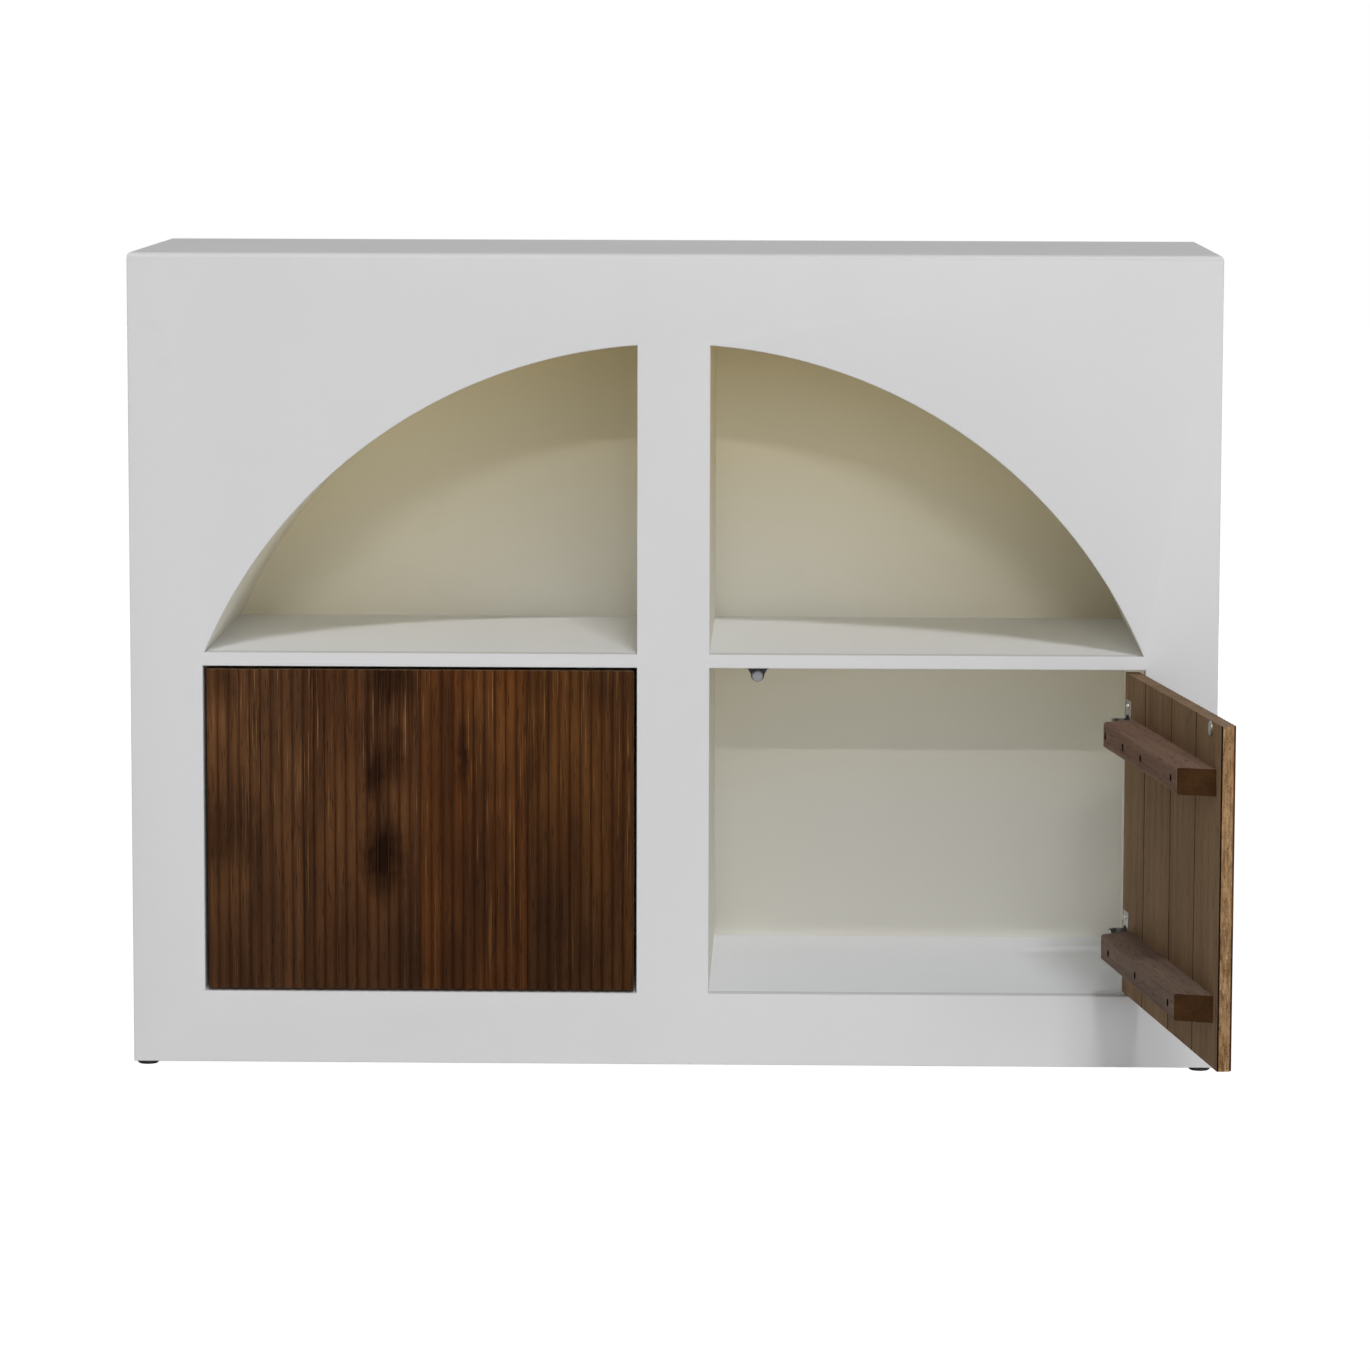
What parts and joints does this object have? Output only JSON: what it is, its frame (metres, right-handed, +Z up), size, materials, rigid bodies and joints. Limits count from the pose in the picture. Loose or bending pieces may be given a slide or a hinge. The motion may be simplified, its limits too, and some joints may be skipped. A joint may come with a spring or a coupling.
{
  "type": "sideboard",
  "caption": "White sideboard with arched display niches above hinged cupboard doors in dark reeded wood, on concealed hinges with push latches.",
  "frame": {"origin": "on the floor under the middle of the carcass, at the underside of the centre glide", "axes": "+X to the right seen from the front, +Y to the back, +Z up"},
  "size_m": [1.2, 0.8497, 0.906],
  "materials": {
    "white_paint": "satin white paint on wood panel",
    "cream_paint": "satin cream white paint on wood panel",
    "plain_wood": "unfinished softwood",
    "dark_wood": "dark brown stain on solid wood",
    "hinge_steel": "nickel-plated steel",
    "black_plastic": "matt black moulding",
    "grey_plastic": "matt grey moulding"
  },
  "bodies": {
    "carcass": {"front_panel": "white_paint", "top_panel": "white_paint", "left_side_panel": "white_paint", "right_side_panel": "white_paint", "left_shelf": "cream_paint", "right_shelf": "cream_paint", "floor_panel": "cream_paint", "left_post_cheek": "cream_paint", "right_post_cheek": "cream_paint", "left_inner_wall": "cream_paint", "right_inner_wall": "cream_paint", "left_arch_lining": "cream_paint", "right_arch_lining": "cream_paint", "back_panel": "cream_paint", "rear_base_rail": "plain_wood", "centre_bearer": "plain_wood", "back_panel_screws": "hinge_steel", "hinge_arm_screws": "hinge_steel", "left_hinge_plate_screws": "hinge_steel", "right_hinge_plate_screws": "hinge_steel", "latch_screws": "hinge_steel", "left_upper_hinge_arm": "hinge_steel", "left_upper_hinge_plate": "hinge_steel", "left_lower_hinge_arm": "hinge_steel", "left_lower_hinge_plate": "hinge_steel", "right_upper_hinge_arm": "hinge_steel", "right_upper_hinge_plate": "hinge_steel", "right_lower_hinge_arm": "hinge_steel", "right_lower_hinge_plate": "hinge_steel", "glide_feet": "black_plastic", "left_latch_housing": "black_plastic", "right_latch_housing": "black_plastic"},
    "left_door": {"left_door_board_1": "dark_wood", "left_door_board_2": "dark_wood", "left_door_board_3": "dark_wood", "left_door_board_4": "dark_wood", "left_upper_batten": "dark_wood", "left_lower_batten": "dark_wood", "left_upper_hinge_cup": "hinge_steel", "left_lower_hinge_cup": "hinge_steel", "left_hinge_pins": "hinge_steel", "left_door_fitting_screws": "hinge_steel", "left_batten_screws": "hinge_steel", "left_strike_disc": "hinge_steel"},
    "left_plunger": {"left_latch_plunger": "grey_plastic"},
    "right_door": {"right_door_board_1": "dark_wood", "right_door_board_2": "dark_wood", "right_door_board_3": "dark_wood", "right_door_board_4": "dark_wood", "right_upper_batten": "dark_wood", "right_lower_batten": "dark_wood", "right_upper_hinge_cup": "hinge_steel", "right_lower_hinge_cup": "hinge_steel", "right_hinge_pins": "hinge_steel", "right_door_fitting_screws": "hinge_steel", "right_batten_screws": "hinge_steel", "right_strike_disc": "hinge_steel"},
    "right_plunger": {"right_latch_plunger": "grey_plastic"}
  },
  "joints": [
    {"name": "left_door_hinge", "type": "hinge", "parent": "carcass", "child": "left_door", "pos_m": [-0.5075, -0.19, 0.266], "axis": [0, 0, -1], "range_deg": [0, 98.5]},
    {"name": "right_door_hinge", "type": "hinge", "parent": "carcass", "child": "right_door", "pos_m": [0.5075, -0.19, 0.266], "axis": [0, 0, 1], "range_deg": [-98.5, 0]},
    {"name": "left_plunger_slide", "type": "slide", "parent": "carcass", "child": "left_plunger", "axis": [0, -1, 0], "range_m": [0, 0.01]},
    {"name": "right_plunger_slide", "type": "slide", "parent": "carcass", "child": "right_plunger", "axis": [0, -1, 0], "range_m": [-0.01, 0]}
  ],
  "couplings": [
    {"joint": "left_plunger_slide", "follows": "left_door_hinge", "m_per_rad": 0.0058},
    {"joint": "right_plunger_slide", "follows": "right_door_hinge", "m_per_rad": 0.0058}
  ]
}
